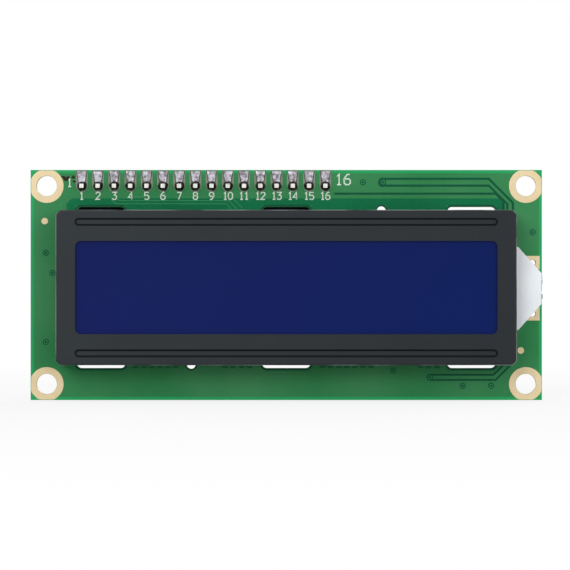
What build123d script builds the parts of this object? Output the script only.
from build123d import *
import math
import os

# Two line character display module with a serial adapter board soldered to its back.
# Frame: X to the right as the display is read, Z up, Y away from the reader.
# The origin is the centre of the four mounting holes, on the front face of the main board.

# Main board
board_length = 80.0
board_height = 36.0
board_thickness = 1.6
mount_inset = 2.5
mount_bore = 3.2
peg_bore = 1.4
peg_x = 14.9
peg_shift = 0.03
spare_lamp_bore = 0.8
spare_lamp_inset = 3.9
spare_lamp_pitch = 2.59
strap_bore = 0.95
strap_inset = 1.4
strap_pitch = 8.0

# Sixteen way pin row that joins the two boards
pin_pitch = 2.54
pin_count = 16
pin_side = 0.64
row_start_inset = 8.0
front_stub = 1.15
rear_stub = 1.1
front_pad_width = 1.8
front_pad_taper = 0.1
front_pad_edge_gap = 0.1
rear_pad_radius = 0.82
lamp_pad_radius = 0.7
solder_climb = 0.7
solder_neck = 0.85
solder_cheek = 0.75
cone_flats = 6
spacer_width = 2.5
spacer_height = 2.54
spacer_notch = 0.7

# Bezel, folded from one sheet. Its size is the board's less the strips left free round it
side_strip = 4.4
header_strip = 6.4
lower_strip = 5.6
bezel_depth = 7.2
sheet = 0.4
wall_flare = 0.07
fold_radius = 0.35
corner_cut = 0.65
corner_seam = 0.15
window_side_border = 3.0
window_border = 4.8
window_corner = 0.9
bead_end_inset = 2.9
bead_width = 1.25
bead_depth = 0.3
bead_slope = 45.0
bead_inset = 1.85
wall_notch_length = 9.5
wall_notch_height = 1.4

# Locking tabs, bent behind the board
tab_width = 7.2
tab_inset = 6.6
tab_count = 3
tab_rise = 1.8
tab_angle = 48.0
tab_knee = 0.6
slot_side_clearance = 0.22
slot_width = 1.6
slot_outer_clearance = 0.55

# Liquid crystal cell and its edge connectors
cell_clearance = 0.3
glass_thickness = 1.1
polarizer_thickness = 0.22
polarizer_margin = 0.8
rear_glass_margin = 1.7
zebra_width = 2.4
zebra_wall_clearance = 0.1
zebra_end_inset = 4.6

# Backlight, with the lamp in an ear past the bezel's right wall
diffuser_thickness = 0.2
tray_end_clearance = 1.0
tray_side_clearance = 0.3
tray_wall = 0.8
tray_floor = 0.5
guide_clearance = 0.2
ear_z = -0.55
ear_thickness = 3.0
ear_length = 5.5
ear_shoulder_length = 1.9
ear_root_half = 6.45
ear_end_half = 2.4
ear_skin = 0.3
ear_notch_clearance = 0.2
lamp_width = 1.4
lamp_height = 4.0
lamp_lead_pitch = 2.6
lamp_lead_side = 0.5
lamp_lead_inset = 0.8
lamp_lead_stub = 0.5

# Resin drops over the two bonded chips: x, z, radius
drop_height = 1.5
drops = {"resin_drop_controller": (13.2, 0.45, 5.3), "resin_drop_driver": (-12.8, -0.55, 6.32)}

# Adapter board: its length and height come from what stands side by side on it
adapter_thickness = 1.6
adapter_top_margin = 1.4
adapter_bottom_margin = 1.595
legend_gap = 3.25
trimmer_gap = 2.75
column_gap = 3.4
column_pitch = 2.57
column_count = 4
jumper_gap = 2.09

# Chip resistors: length, width, height, end cap
large_chip = (2.0, 1.25, 0.5, 0.4)
small_chip = (1.6, 0.8, 0.45, 0.3)
fillet_foot = 0.5
fillet_rise = 0.8

# Chip resistors on the main board: x, z, and size
main_chips = ((20.4, 12.45, large_chip), (-22.94, -4.1, small_chip))
bias_chip_x = -30.6
bias_chip_top = -2.0
bias_chip_pitch = 2.22
bias_chip_count = 3

# Small parts of the adapter, with their rows measured down from the pin row
upper_row_drop = 5.73
lower_row_drop = 10.6
upper_row_shift = 0.6
flat_chip_gap = 1.765
flat_chip_pitch = 4.5
flat_chip_count = 3
flat_chip_shift = 1.1
capacitor_height = 0.85
lamp_chip_base_height = 0.35
lamp_chip_lens = (1.15, 1.2, 0.45)
lens_edge = 0.1

# Transistor
transistor_shift = -0.9
transistor_body = (2.9, 1.3, 1.0)
transistor_lead_pitch = 1.9
transistor_lead = (0.42, 0.55, 0.15)
transistor_edge = 0.12

# Sixteen lead expander chip
expander_row_gap = 2.69
expander_width = 7.5
expander_height = 10.3
expander_body_thickness = 2.25
expander_standoff = 0.15
expander_span = 10.3
expander_lead_pitch = 1.27
expander_side_leads = 8
expander_lead_width = 0.42
expander_lead_thickness = 0.25
expander_foot = 0.85
expander_shoulder = 0.35
expander_draft = 6.0

# Contrast trimmer
trimmer_row_gap = 3.2
trimmer_side = 7.0
trimmer_height = 4.9
trimmer_edge = 0.25
trimmer_recess = 3.55
trimmer_recess_depth = 0.85
rotor_head = 2.85
rotor_shaft = 1.9
rotor_shaft_length = 2.4
rotor_slot = 0.65
rotor_slot_depth = 0.4
rotor_gap = 0.06
rotor_drop = 0.05
trimmer_pin = 0.5
trimmer_pin_spread = 2.54
adapter_stub = 0.5

# Right angle headers: four way bus and two way jumper
base_width = 2.5
base_height = 2.5
base_notch_depth = 0.8
base_notch_width = 0.35
base_vee = 0.35
bend_radius = 0.5
pin_tip_taper = 0.15
bus_ways = 4
bus_drop = 8.05
bus_reach = 6.8
jumper_ways = 2
jumper_drop = 7.12
jumper_reach = 4.3

# Pull-off jumper cap and the clip in it
cap_gap = 0.1
cap_length = 6.15
cap_width = 5.0
cap_thickness = 2.4
cap_wall = 0.35
cap_end_wall = 0.6
cap_edge = 0.12
cap_groove = 0.12
cap_groove_spots = (0.75, 1.65)
cap_window_inset = 0.6
cap_window_length = 2.05
cap_window_width = 1.3
clip_sheet = 0.2
clip_width = 1.1
clip_pinch = 0.04
clip_strap = 0.9
clip_start = 0.7

# Heights and places that follow from the sizes above
adapter_front = board_thickness + spacer_height
adapter_back = adapter_front + adapter_thickness
mount_pitch_x = board_length - 2 * mount_inset
mount_pitch_z = board_height - 2 * mount_inset
row_z = mount_pitch_z / 2
row_start = -board_length / 2 + row_start_inset
row_length = (pin_count - 1) * pin_pitch
row_x = row_start + row_length / 2
pin_spots = [row_start + i * pin_pitch for i in range(pin_count)]
large_width = large_chip[1]
expander_top = row_z - expander_row_gap
flat_chip_z = expander_top - expander_height - flat_chip_gap - large_width / 2
adapter_top = row_z + adapter_top_margin
adapter_bottom = flat_chip_z - large_width / 2 - adapter_bottom_margin
columns_length = (column_count - 1) * column_pitch
adapter_length = base_width + legend_gap + trimmer_side + trimmer_gap + expander_span
adapter_length += column_gap + columns_length + jumper_gap + base_width
adapter_left = row_x - adapter_length / 2
adapter_right = row_x + adapter_length / 2
trimmer_x = adapter_left + base_width + legend_gap + trimmer_side / 2
trimmer_z = row_z - trimmer_row_gap - trimmer_side / 2
expander_x = trimmer_x + trimmer_side / 2 + trimmer_gap + expander_span / 2
expander_z = expander_top - expander_height / 2
column_x = expander_x + expander_span / 2 + column_gap
columns = [column_x + i * column_pitch for i in range(column_count)]
upper_row_z = row_z - upper_row_drop
lower_row_z = row_z - lower_row_drop
transistor_x = columns[-1] + transistor_shift
display_z = (lower_strip - header_strip) / 2
bezel_length = board_length - 2 * side_strip
bezel_height = board_height - header_strip - lower_strip
window_length = bezel_length - 2 * window_side_border
window_height = bezel_height - 2 * window_border
bead_length = bezel_length - 2 * bead_end_inset
bead_offset = bezel_height / 2 - bead_inset
peg_offset = bezel_height / 2 + peg_shift
tab_pitch = (bezel_length - 2 * tab_inset) / (tab_count - 1)
bezel_inside = -bezel_depth + sheet
glass_front = bezel_inside + bead_depth
cell_back = glass_front + 2 * glass_thickness
tray_front = cell_back + polarizer_thickness + diffuser_thickness
foot_half_height = bezel_height / 2 + wall_flare
slot_offset = foot_half_height + slot_outer_clearance - slot_width / 2
tab_spots = [(i - (tab_count - 1) / 2) * tab_pitch for i in range(tab_count)]
glass_length = bezel_length - 2 * sheet - 2 * cell_clearance
glass_height = bezel_height - 2 * sheet - 2 * cell_clearance
polarizer_length = window_length + 2 * polarizer_margin
polarizer_height = window_height + 2 * polarizer_margin
rear_glass_height = window_height + 2 * rear_glass_margin
zebra_front = glass_front + glass_thickness
zebra_length = bezel_length - 2 * zebra_end_inset
zebra_offset = bezel_height / 2 - sheet - zebra_wall_clearance - zebra_width / 2
tray_length = bezel_length - 2 * sheet - 2 * tray_end_clearance
tray_height = 2 * (zebra_offset - zebra_width / 2 - tray_side_clearance)
ear_reach = tray_length / 2 + ear_length
lamp_lead_x = ear_reach - lamp_lead_inset
lamp_lead_spots = (ear_z + lamp_lead_pitch / 2, ear_z - lamp_lead_pitch / 2)
lamp_end = ear_reach - ear_skin
header_level = adapter_back + base_height + bend_radius
bus_leg_x = adapter_left + base_width / 2
jumper_leg_x = adapter_right - base_width / 2
jumper_centre = row_z - jumper_drop
bus_centre = row_z - bus_drop
cap_start = jumper_leg_x + base_width / 2 + cap_gap


def slab(outline, front, back, x=0.0, z=0.0):
    """An outline seen by the reader, filled from one depth to another."""
    return Pos(x, back, z) * extrude(Plane.XZ * outline, amount=back - front)


def frustum(foot, neck, base, top, twisted=False):
    """A solid between a foot outline and a neck outline. A twisted side gets two facets."""
    lower = [(x, base, z) for x, z in foot]
    upper = [(x, top, z) for x, z in neck]
    rings = [lower, upper]
    for i in range(len(foot)):
        side = [lower[i - 1], lower[i], upper[i], upper[i - 1]]
        rings += [side[:3], [side[0], *side[2:]]] if twisted else [side]
    return Solid(Shell([Face(Wire.make_polygon(ring, close=True)) for ring in rings]))


def block(width, height, depth, x, z, seat):
    """A rectangular block that stands on a face and grows away from the reader."""
    return slab(Rectangle(width, height), seat, seat + depth, x, z)


def row(count, pitch):
    """Places of a centred row."""
    return [(i - (count - 1) / 2) * pitch for i in range(count)]


def strip_outline(points, thickness):
    """The closed outline of a thin strip that follows a centre line, with mitred corners."""
    sides = ([], [])
    for i, (x, y) in enumerate(points):
        before = points[max(i - 1, 0)]
        after = points[min(i + 1, len(points) - 1)]
        headings = []
        if i > 0:
            headings.append(math.atan2(y - before[1], x - before[0]))
        if i < len(points) - 1:
            headings.append(math.atan2(after[1] - y, after[0] - x))
        heading = sum(headings) / len(headings)
        reach = thickness / 2 / math.cos(heading - headings[0])
        for side, sign in zip(sides, (1, -1)):
            side.append((x - sign * reach * math.sin(heading), y + sign * reach * math.cos(heading)))
    return Polyline(*sides[0], *reversed(sides[1]), close=True)


# Main board


def main_board():
    """Glass-epoxy board: mounting holes, tab slots, lamp holes, and a pin row filled with solder."""
    outline = Rectangle(board_length, board_height)
    outline -= [spot * Circle(mount_bore / 2) for spot in GridLocations(mount_pitch_x, mount_pitch_z, 2, 2)]
    outline -= [Pos(x, row_z) * Rectangle(pin_side, pin_side) for x in pin_spots]
    outline -= [Pos(side * peg_x, display_z + side * peg_offset) * Circle(peg_bore / 2) for side in (1, -1)]
    for inset, bore, pitch in (
        (spare_lamp_inset, spare_lamp_bore, spare_lamp_pitch),
        (strap_inset, strap_bore, strap_pitch),
    ):
        outline -= [Pos(board_length / 2 - inset, ear_z + z) * Circle(bore / 2) for z in row(2, pitch)]
    outline -= [Pos(lamp_lead_x, z) * Rectangle(lamp_lead_side, lamp_lead_side) for z in lamp_lead_spots]
    slot = SlotOverall(tab_width + 2 * slot_side_clearance, slot_width)
    for side in (1, -1):
        outline -= [Pos(x, display_z + side * slot_offset) * slot for x in tab_spots]
    return slab(outline, 0, board_thickness)


def resin_drop(x, z, radius):
    """A drop of resin over a bonded chip: a cap of a sphere on a flat foot."""
    ball_radius = (radius**2 + drop_height**2) / (2 * drop_height)
    ball = Pos(0, drop_height - ball_radius, 0) * Sphere(ball_radius)
    return Pos(x, board_thickness, z) * (ball & block(3 * radius, 3 * radius, drop_height, 0, 0, 0))


# Bezel


def bezel_outline(grow):
    """The eight corners of the bezel's outline, grown or drawn in, its cuts kept parallel."""
    x = bezel_length / 2 + grow
    z = bezel_height / 2 + grow
    cut = corner_cut + grow * (2 - math.sqrt(2))
    right = [(x, z - cut), (x - cut, z)]
    top = right + [(-x, z) for x, z in reversed(right)]
    return [(x, display_z + z) for x, z in top + [(-x, -z) for x, z in top]]


def bezel_block(inset, front):
    """The flared block of the bezel's outline, drawn in by an inset, from a depth to the board."""
    front_flare = wall_flare * (1 + front / bezel_depth)
    return frustum(bezel_outline(wall_flare - inset), bezel_outline(front_flare - inset), 0, front)


def bead(outline, front, z):
    """One side of a pressed bead, from the outline of its bottom, with sloping walls."""
    return Pos(0, front + bead_depth, z) * extrude(Plane.XZ * outline, amount=bead_depth, taper=-bead_slope)


def locking_tab():
    """One tab drawn at the origin: a neck through the slot, and a head with its free half swung inward."""
    half = tab_width / 2
    neck = slab(Pos(-half / 2, 0) * Rectangle(half, sheet), 0, board_thickness)
    line = [(-half, 0), (0, 0)]
    heading = 0
    for turn in (tab_angle / 2, tab_angle / 2):
        heading += math.radians(turn)
        length = tab_knee if len(line) == 2 else half - tab_knee
        x, z = line[-1]
        line.append((x + length * math.cos(heading), z - length * math.sin(heading)))
    head = slab(make_face(strip_outline(line, sheet)), board_thickness, board_thickness + tab_rise)
    return neck + head


def bezel():
    """One folded sheet: window, two beads, flared walls, corner seams, notches and six tabs."""
    outer = bezel_block(0, -bezel_depth)
    face_edges = outer.edges().filter_by_position(Axis.Y, -bezel_depth - 0.01, -bezel_depth + 0.01)
    shell = fillet(face_edges, fold_radius) - bezel_block(sheet, bezel_inside)
    window = RectangleRounded(window_length, window_height, window_corner)
    shell -= slab(window, -bezel_depth, bezel_inside, 0, display_z)
    groove_length = bead_length - 2 * bead_depth
    groove_width = bead_width - 2 * bead_depth
    thickening = 2 * sheet * math.tan(math.radians(bead_slope / 2))
    for side in (1, -1):
        bead_z = display_z + side * bead_offset
        ridge = Rectangle(groove_length + thickening, groove_width + thickening)
        shell += bead(ridge, bezel_inside, bead_z)
        shell -= bead(SlotOverall(groove_length, groove_width), -bezel_depth, bead_z)
    wall_x = bezel_length / 2
    wall_cut = 4 * (sheet + wall_flare)
    shell -= slab(Rectangle(wall_cut, wall_notch_length), -wall_notch_height, 0, -wall_x, display_z)
    ear_notch = 2 * (ear_root_half + ear_notch_clearance)
    shell -= slab(Rectangle(wall_cut, ear_notch), -ear_thickness - ear_notch_clearance, 0, wall_x, ear_z)
    seam = Rectangle(4 * corner_cut, corner_seam)
    for x_side, z_side in ((1, 1), (1, -1), (-1, 1), (-1, -1)):
        corner = Rot(0, 0, 45 * x_side * z_side) * seam
        place = (x_side * (wall_x - corner_cut / 2), display_z + z_side * (bezel_height - corner_cut) / 2)
        shell -= slab(corner, bezel_inside + sheet, 0, *place)
    tab = locking_tab()
    tab_offset = foot_half_height - sheet / 2
    for x in tab_spots:
        shell += Pos(x, 0, display_z + tab_offset) * tab
        shell += Pos(x, 0, display_z - tab_offset) * Rot(0, 180, 0) * tab
    return shell


# Liquid crystal cell and backlight


def cell_sheet(length, height, front, thickness):
    """One flat sheet of the cell, centred on the display."""
    return block(length, height, thickness, 0, display_z, front)


def polarizer(front):
    """One of the two films on the cell's outer faces."""
    return cell_sheet(polarizer_length, polarizer_height, front, polarizer_thickness)


def zebra_strip(side):
    """Silicone strip that joins the edge of the front glass to the board."""
    z = display_z + side * zebra_offset
    return block(zebra_length, zebra_width, -zebra_front, 0, z, zebra_front)


def diffuser_sheet():
    """White film over the light guide."""
    return cell_sheet(tray_length, tray_height, tray_front - diffuser_thickness, diffuser_thickness)


def backlight_tray():
    """White moulded tray with its rim, floor and the ear that holds the lamp."""
    rim = slab(Rectangle(tray_length, tray_height), tray_front, 0, 0, display_z)
    inside = Rectangle(tray_length - 2 * tray_wall, tray_height - 2 * tray_wall)
    root = tray_length / 2
    ear_points = [
        (root, ear_root_half),
        (root + ear_shoulder_length, ear_root_half),
        (ear_reach, ear_end_half),
        (ear_reach, -ear_end_half),
        (root + ear_shoulder_length, -ear_root_half),
        (root, -ear_root_half),
    ]
    ear = slab(make_face(Polyline(*ear_points, close=True)), -ear_thickness, 0, 0, ear_z)
    tray = rim + ear - slab(inside, tray_front, -tray_floor, 0, display_z)
    pocket_start = root - 2 * tray_wall
    pocket = Rectangle(lamp_end - pocket_start, lamp_height)
    pocket_x = (lamp_end + pocket_start) / 2
    tray -= slab(pocket, -ear_thickness + tray_floor, -tray_floor, pocket_x, ear_z)
    lead_hole = Rectangle(lamp_lead_side, lamp_lead_side)
    for z in lamp_lead_spots:
        tray -= slab(lead_hole, -tray_floor, 0, lamp_lead_x, z)
    return tray


def light_guide():
    """Clear plate that fills the tray, with the tongue that meets the lamp."""
    length = tray_length - 2 * tray_wall - 2 * guide_clearance
    height = tray_height - 2 * tray_wall - 2 * guide_clearance
    plate = slab(Rectangle(length, height), tray_front, -tray_floor, 0, display_z)
    tongue_end = lamp_end - lamp_width
    tongue_start = length / 2
    tongue = Rectangle(tongue_end - tongue_start, lamp_height - 2 * guide_clearance)
    tongue_x = (tongue_end + tongue_start) / 2
    return plate + slab(tongue, -ear_thickness + tray_floor, -tray_floor, tongue_x, ear_z)


def backlight_lamp():
    """The side lamp, in the outer end of the ear."""
    depth = ear_thickness - 2 * tray_floor
    return block(lamp_width, lamp_height, depth, lamp_end - lamp_width / 2, ear_z, -tray_floor - depth)


def lamp_leads():
    """Two square leads from the lamp through the main board."""
    length = tray_floor + board_thickness + lamp_lead_stub
    lead = block(lamp_lead_side, lamp_lead_side, length, lamp_lead_x, 0, -tray_floor)
    return Compound(children=[Pos(0, 0, z) * lead for z in lamp_lead_spots])


# Pin row between the boards


def header_pins():
    """The sixteen square pins, cut off flat just past the solder on both boards."""
    pin = slab(Rectangle(pin_side, pin_side), -front_stub, adapter_back + rear_stub)
    return Compound(children=[Pos(x, 0, row_z) * pin for x in pin_spots])


def breakaway_base(count, width, notch_width, notch_sides):
    """Outline of a strip of square cells with a notch between each two, and its pin holes."""
    length = count * pin_pitch
    outline = Rectangle(length, width)
    vee = Rot(0, 0, 45) * Rectangle(notch_width, notch_width)
    for x in row(count - 1, pin_pitch):
        outline -= [Pos(x, side * width / 2) * vee for side in notch_sides]
    outline -= [Pos(x, 0) * Rectangle(pin_side, pin_side) for x in row(count, pin_pitch)]
    return outline


def header_spacer():
    """Plastic strip on the pins that holds the two boards apart, scored on its outer side."""
    base = breakaway_base(pin_count, spacer_width, spacer_notch, (1,))
    return slab(base, board_thickness, adapter_front, row_x, row_z)


def solder_outline(half_width, top):
    """Outline of a joint drawn towards the board's edge, its lower end narrowed to a nose."""
    waist = half_width - front_pad_taper
    cheek = -waist * solder_cheek
    return [(-half_width, top), (half_width, top), (waist, cheek), (0, -half_width), (-waist, cheek)]


def front_solder():
    """Solder on the main board's front: a wide foot up to the board's edge, drawn up to each pin."""
    top = mount_inset - front_pad_edge_gap
    foot = solder_outline(front_pad_width / 2, top)
    neck = solder_outline(pin_side * solder_neck, pin_side)
    joint = frustum(foot, neck, 0, -front_stub * solder_climb, twisted=True)
    joint -= slab(Rectangle(pin_side, pin_side), -front_stub, 0)
    return Compound(children=[Pos(x, 0, row_z) * joint for x in pin_spots])


def solder_cone(radius, height, side):
    """Flats of solder drawn up a square pin, on a face at the origin and growing along +Y."""
    turns = [2 * math.pi * i / cone_flats for i in range(cone_flats)]
    foot = [(radius * math.cos(turn), radius * math.sin(turn)) for turn in turns]
    neck_radius = side * solder_neck
    neck = [(neck_radius * math.cos(turn), neck_radius * math.sin(turn)) for turn in turns]
    return frustum(foot, neck, 0, height) - slab(Rectangle(side, side), 0, height)


def rear_solder():
    """Round solder joints of the pin row on the adapter's outer face."""
    cone = solder_cone(rear_pad_radius, rear_stub * solder_climb, pin_side)
    return Compound(children=[Pos(x, adapter_back, row_z) * cone for x in pin_spots])


# Adapter board


def adapter_board():
    """Black board. Solder fills each plated pin hole, so the hole is left as the pin's own square."""
    height = adapter_top - adapter_bottom
    outline = Pos(row_x, adapter_top - height / 2) * Rectangle(adapter_length, height)
    outline -= [Pos(x, row_z) * Rectangle(pin_side, pin_side) for x in pin_spots]
    for x, centre, ways in ((bus_leg_x, bus_centre, bus_ways), (jumper_leg_x, jumper_centre, jumper_ways)):
        outline -= [Pos(x, centre + z) * Rectangle(pin_side, pin_side) for z in row(ways, pin_pitch)]
    outline -= [Pos(x, z) * Rectangle(trimmer_pin, trimmer_pin) for x, z in trimmer_pin_spots()]
    return slab(outline, adapter_front, adapter_back)


def chip(x, z, seat, size, upright=False, height=None):
    """A chip part: ceramic body between two tinned end caps."""
    length, width, usual_height, cap = size
    tall = height or usual_height
    turn = 90 if upright else 0
    solids = [block(length - 2 * cap, width, tall, 0, 0, 0)]
    for side in (1, -1):
        solids.append(block(cap, width, tall, side * (length - cap) / 2, 0, 0))
    return Compound(children=[Pos(x, seat, z) * Rot(0, turn, 0) * solid for solid in solids])


def chip_fillets(x, z, seat, size, upright=False):
    """The wedge of solder at each end of a chip part."""
    length, width, tall, _ = size
    rise = tall * fillet_rise
    wedges = []
    for side in (1, -1):
        face = side * length / 2
        points = [(face, 0), (face + side * fillet_foot, 0), (face, rise)]
        wedge = Pos(0, 0, -width / 2) * extrude(make_face(Polyline(*points, close=True)), amount=width)
        wedges.append(Pos(x, seat, z) * Rot(0, 90 if upright else 0, 0) * wedge)
    return wedges


def main_chip_spots():
    """Place and size of each chip resistor on the main board."""
    bias = [
        (bias_chip_x, bias_chip_top - i * bias_chip_pitch, small_chip) for i in range(bias_chip_count)
    ]
    return [*main_chips, *bias]


def adapter_chip_spots():
    """Place of each chip resistor on the adapter, and whether it stands upright."""
    upright = [(columns[1] + upper_row_shift, upper_row_z, True)]
    upright += [(x, lower_row_z, True) for x in columns[2::-1]]
    flat_start = columns[0] + flat_chip_shift
    flat = [(flat_start - i * flat_chip_pitch, flat_chip_z, False) for i in range(flat_chip_count)]
    return upright + flat


def main_solder():
    """Solder of the main board's chip parts and of the lamp's leads."""
    wedges = []
    for x, z, size in main_chip_spots():
        wedges += chip_fillets(x, z, board_thickness, size)
    cone = solder_cone(lamp_pad_radius, lamp_lead_stub * solder_climb, lamp_lead_side)
    cones = [Pos(lamp_lead_x, board_thickness, z) * cone for z in lamp_lead_spots]
    return Compound(children=wedges + cones)


def adapter_solder():
    """Solder of the adapter's chip parts."""
    wedges = []
    for x, z, upright in adapter_chip_spots():
        wedges += chip_fillets(x, z, adapter_back, large_chip, upright)
    for x, z in ((columns[0] + upper_row_shift, upper_row_z), (columns[-1], lower_row_z)):
        wedges += chip_fillets(x, z, adapter_back, large_chip, True)
    return Compound(children=wedges)


def power_led():
    """Base with its two end caps, and the clear lens on it."""
    base = chip(columns[-1], lower_row_z, adapter_back, large_chip, True, lamp_chip_base_height)
    width, length, height = lamp_chip_lens
    lens = block(width, length, height, columns[-1], lower_row_z, adapter_back + lamp_chip_base_height)
    return base, chamfer(lens.faces().sort_by(Axis.Y)[-1].edges(), lens_edge)


def transistor():
    """Small three lead transistor: moulded body and three flat leads."""
    x, z = transistor_x, upper_row_z
    width, height, tall = transistor_body
    lead_width, lead_length, lead_sheet = transistor_lead
    body = block(width, height, tall - lead_sheet, x, z, adapter_back + lead_sheet)
    body = chamfer(body.faces().sort_by(Axis.Y)[-1].edges(), transistor_edge)
    reach = (height + lead_length) / 2
    half_pitch = transistor_lead_pitch / 2
    leads = []
    for lead_x, lead_z in ((x, z + reach), (x + half_pitch, z - reach), (x - half_pitch, z - reach)):
        inward = math.copysign(lead_length / 2, z - lead_z)
        foot = block(lead_width, lead_length, lead_sheet, lead_x, lead_z, adapter_back)
        under = block(lead_width, lead_length, lead_sheet, lead_x, lead_z + inward, adapter_back)
        leads.append(foot + under)
    return body, Compound(children=leads)


def expander_body():
    """Moulded chip body, drafted both ways from the level of its leads."""
    parting = Plane.XZ * Rectangle(expander_width, expander_height)
    half = extrude(parting, amount=expander_body_thickness / 2, taper=expander_draft)
    middle = expander_standoff + expander_body_thickness / 2
    return Pos(expander_x, adapter_back + middle, expander_z) * (half + mirror(half, Plane.XZ))


def expander_leads():
    """Sixteen gull wing leads, each a bent strip."""
    half = expander_lead_thickness / 2
    root = expander_width / 2
    toe = expander_span / 2
    level = expander_standoff + expander_body_thickness / 2
    line = [
        (root, level),
        (root + expander_shoulder, level),
        (toe - expander_foot, half),
        (toe, half),
    ]
    outline = make_face(strip_outline(line, expander_lead_thickness))
    lead = Pos(0, 0, -expander_lead_width / 2) * extrude(outline, amount=expander_lead_width)
    leads = []
    for lead_z in row(expander_side_leads, expander_lead_pitch):
        place = Pos(expander_x, adapter_back, expander_z + lead_z)
        leads += [place * lead, place * Rot(0, 180, 0) * lead]
    return Compound(children=leads)


# Contrast trimmer


def trimmer_pin_spots():
    """Board places of the trimmer's three pins."""
    half = trimmer_pin_spread / 2
    corners = ((-trimmer_pin_spread, -half), (0, half), (trimmer_pin_spread, -half))
    return [(trimmer_x + x, trimmer_z + z) for x, z in corners]


def trimmer_body():
    """Moulded case with the recess round the rotor's head and the bore for its shaft."""
    case = block(trimmer_side, trimmer_side, trimmer_height, 0, 0, 0)
    case = chamfer(case.faces().sort_by(Axis.Y)[-1].edges(), trimmer_edge)
    floor = trimmer_height - trimmer_recess_depth
    case -= slab(Circle(trimmer_recess / 2), floor, trimmer_height)
    bore_floor = floor - rotor_shaft_length - rotor_gap
    case -= slab(Circle(rotor_shaft / 2 + rotor_gap), bore_floor, floor)
    return Pos(trimmer_x, adapter_back, trimmer_z) * case


def trimmer_rotor():
    """Metal rotor: slotted head in the recess, shaft in the bore."""
    floor = trimmer_height - trimmer_recess_depth + rotor_gap
    top = trimmer_height - rotor_drop
    rotor = slab(Circle(rotor_head / 2), floor, top)
    rotor += slab(Circle(rotor_shaft / 2), floor - rotor_shaft_length, floor)
    for width, height in ((rotor_head, rotor_slot), (rotor_slot, rotor_head)):
        rotor -= slab(Rectangle(width, height), top - rotor_slot_depth, top)
    return Pos(trimmer_x, adapter_back, trimmer_z) * rotor


def trimmer_pins():
    """Three square pins from the case through the adapter."""
    length = adapter_thickness + adapter_stub
    seat = adapter_back - length
    return Compound(
        children=[block(trimmer_pin, trimmer_pin, length, x, z, seat) for x, z in trimmer_pin_spots()]
    )


# Right angle headers


def header_base(count, x, z, outward):
    """Strip of cells on the adapter's edge, with deeper notches on its inner side."""
    base = Rot(0, 0, 90) * breakaway_base(count, base_width, base_vee, (1, -1))
    notch_x = -outward * (base_width - base_notch_depth) / 2
    for spot in row(count - 1, pin_pitch):
        base -= Pos(notch_x, spot) * Rectangle(base_notch_depth, base_notch_width)
    return slab(base, adapter_back, adapter_back + base_height, x, z)


def bent_pins(count, x, z, outward, reach):
    """Pins that rise through the base, bend over its top and run out past the edge."""
    start = adapter_front - adapter_stub
    path = FilletPolyline(
        (0, start), (0, header_level), (base_width / 2 + reach, header_level), radius=bend_radius
    )
    section = trace(path, pin_side)
    pin = Pos(0, 0, -pin_side / 2) * extrude(section, amount=pin_side)
    tip = pin.faces().sort_by(Axis.X)[-1]
    pin = chamfer(tip.edges(), pin_tip_taper)
    turn = 0 if outward > 0 else 180
    return Compound(
        children=[Pos(x, 0, z + spot) * Rot(0, turn, 0) * pin for spot in row(count, pin_pitch)]
    )


# Jumper cap


def jumper_cap():
    """Moulded cap, open towards the pins, with a window and two fine grooves near its closed end."""
    end = cap_start + cap_length
    low = header_level - cap_thickness / 2
    high = header_level + cap_thickness / 2
    middle = cap_start + cap_length / 2
    body = block(cap_length, cap_width, cap_thickness, middle, jumper_centre, low)
    body = chamfer(body.edges().filter_by(Axis.Y), cap_edge)
    room_length = cap_length - cap_end_wall
    room = Rectangle(room_length, cap_width - 2 * cap_wall)
    body -= slab(room, low + cap_wall, high - cap_wall, cap_start + room_length / 2, jumper_centre)
    window = SlotOverall(2 * cap_window_length, cap_window_width)
    window -= Pos(cap_window_length, 0) * Rectangle(2 * cap_window_length, 2 * cap_window_width)
    body -= slab(window, low, high, end - cap_window_inset, jumper_centre)
    for inset in cap_groove_spots:
        groove = Rectangle(cap_groove, cap_width)
        body -= slab(groove, high - cap_groove, high, end - inset, jumper_centre)
    return body


def jumper_clip():
    """Spring clip: a strap at the closed end and two leaves on each pin."""
    end = cap_start + cap_length - cap_end_wall
    start = cap_start + clip_start
    gap = pin_side / 2 + clip_pinch
    middle = (start + end) / 2
    strap_width = (jumper_ways - 1) * pin_pitch + clip_width
    bend_x = end - clip_sheet / 2
    clip = block(clip_sheet, strap_width, 2 * gap, bend_x, jumper_centre, header_level - gap)
    strap_x = end - clip_strap / 2
    for level in (header_level - gap - clip_sheet, header_level + gap):
        clip += block(clip_strap, strap_width, clip_sheet, strap_x, jumper_centre, level)
        for spot in row(jumper_ways, pin_pitch):
            clip += block(end - start, clip_width, clip_sheet, middle, jumper_centre + spot, level)
    return clip


def save(name, shape):
    """Writes one sub-part."""
    export_step(shape, f"parts/{name}.step")


os.makedirs("parts", exist_ok=True)

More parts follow.
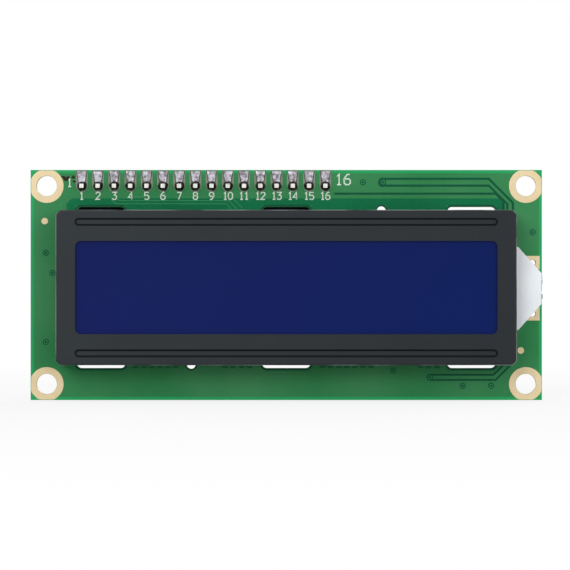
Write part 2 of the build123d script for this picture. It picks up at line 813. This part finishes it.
save("main_board", main_board())
for name, drop in drops.items():
    save(name, resin_drop(*drop))
for number, (x, z, size) in enumerate(main_chip_spots(), 1):
    save(f"main_resistor_{number}", chip(x, z, board_thickness, size))
save("main_solder", main_solder())

save("bezel", bezel())
save("front_polarizer", polarizer(glass_front - polarizer_thickness))
save("front_glass", cell_sheet(glass_length, glass_height, glass_front, glass_thickness))
save("rear_glass", cell_sheet(glass_length, rear_glass_height, zebra_front, glass_thickness))
save("rear_polarizer", polarizer(cell_back))
save("zebra_strip_top", zebra_strip(1))
save("zebra_strip_bottom", zebra_strip(-1))
save("diffuser_sheet", diffuser_sheet())
save("backlight_tray", backlight_tray())
save("light_guide", light_guide())
save("backlight_lamp", backlight_lamp())
save("lamp_leads", lamp_leads())

save("header_pins", header_pins())
save("header_spacer", header_spacer())
save("header_solder_front", front_solder())
save("header_solder_rear", rear_solder())

save("adapter_board", adapter_board())
for number, (x, z, upright) in enumerate(adapter_chip_spots(), 1):
    save(f"adapter_resistor_{number}", chip(x, z, adapter_back, large_chip, upright))
save("adapter_solder", adapter_solder())
capacitor_x = columns[0] + upper_row_shift
save("bypass_capacitor", chip(capacitor_x, upper_row_z, adapter_back, large_chip, True, capacitor_height))
led_base, led_lens = power_led()
save("power_led_base", led_base)
save("power_led_lens", led_lens)
transistor_case, transistor_leads = transistor()
save("transistor_body", transistor_case)
save("transistor_leads", transistor_leads)
save("expander_body", expander_body())
save("expander_leads", expander_leads())

save("trimmer_body", trimmer_body())
save("trimmer_rotor", trimmer_rotor())
save("trimmer_pins", trimmer_pins())

save("bus_header_base", header_base(bus_ways, bus_leg_x, bus_centre, -1))
save("bus_header_pins", bent_pins(bus_ways, bus_leg_x, bus_centre, -1, bus_reach))
save("jumper_header_base", header_base(jumper_ways, jumper_leg_x, jumper_centre, 1))
save("jumper_header_pins", bent_pins(jumper_ways, jumper_leg_x, jumper_centre, 1, jumper_reach))
save("jumper_cap", jumper_cap())
save("jumper_clip", jumper_clip())
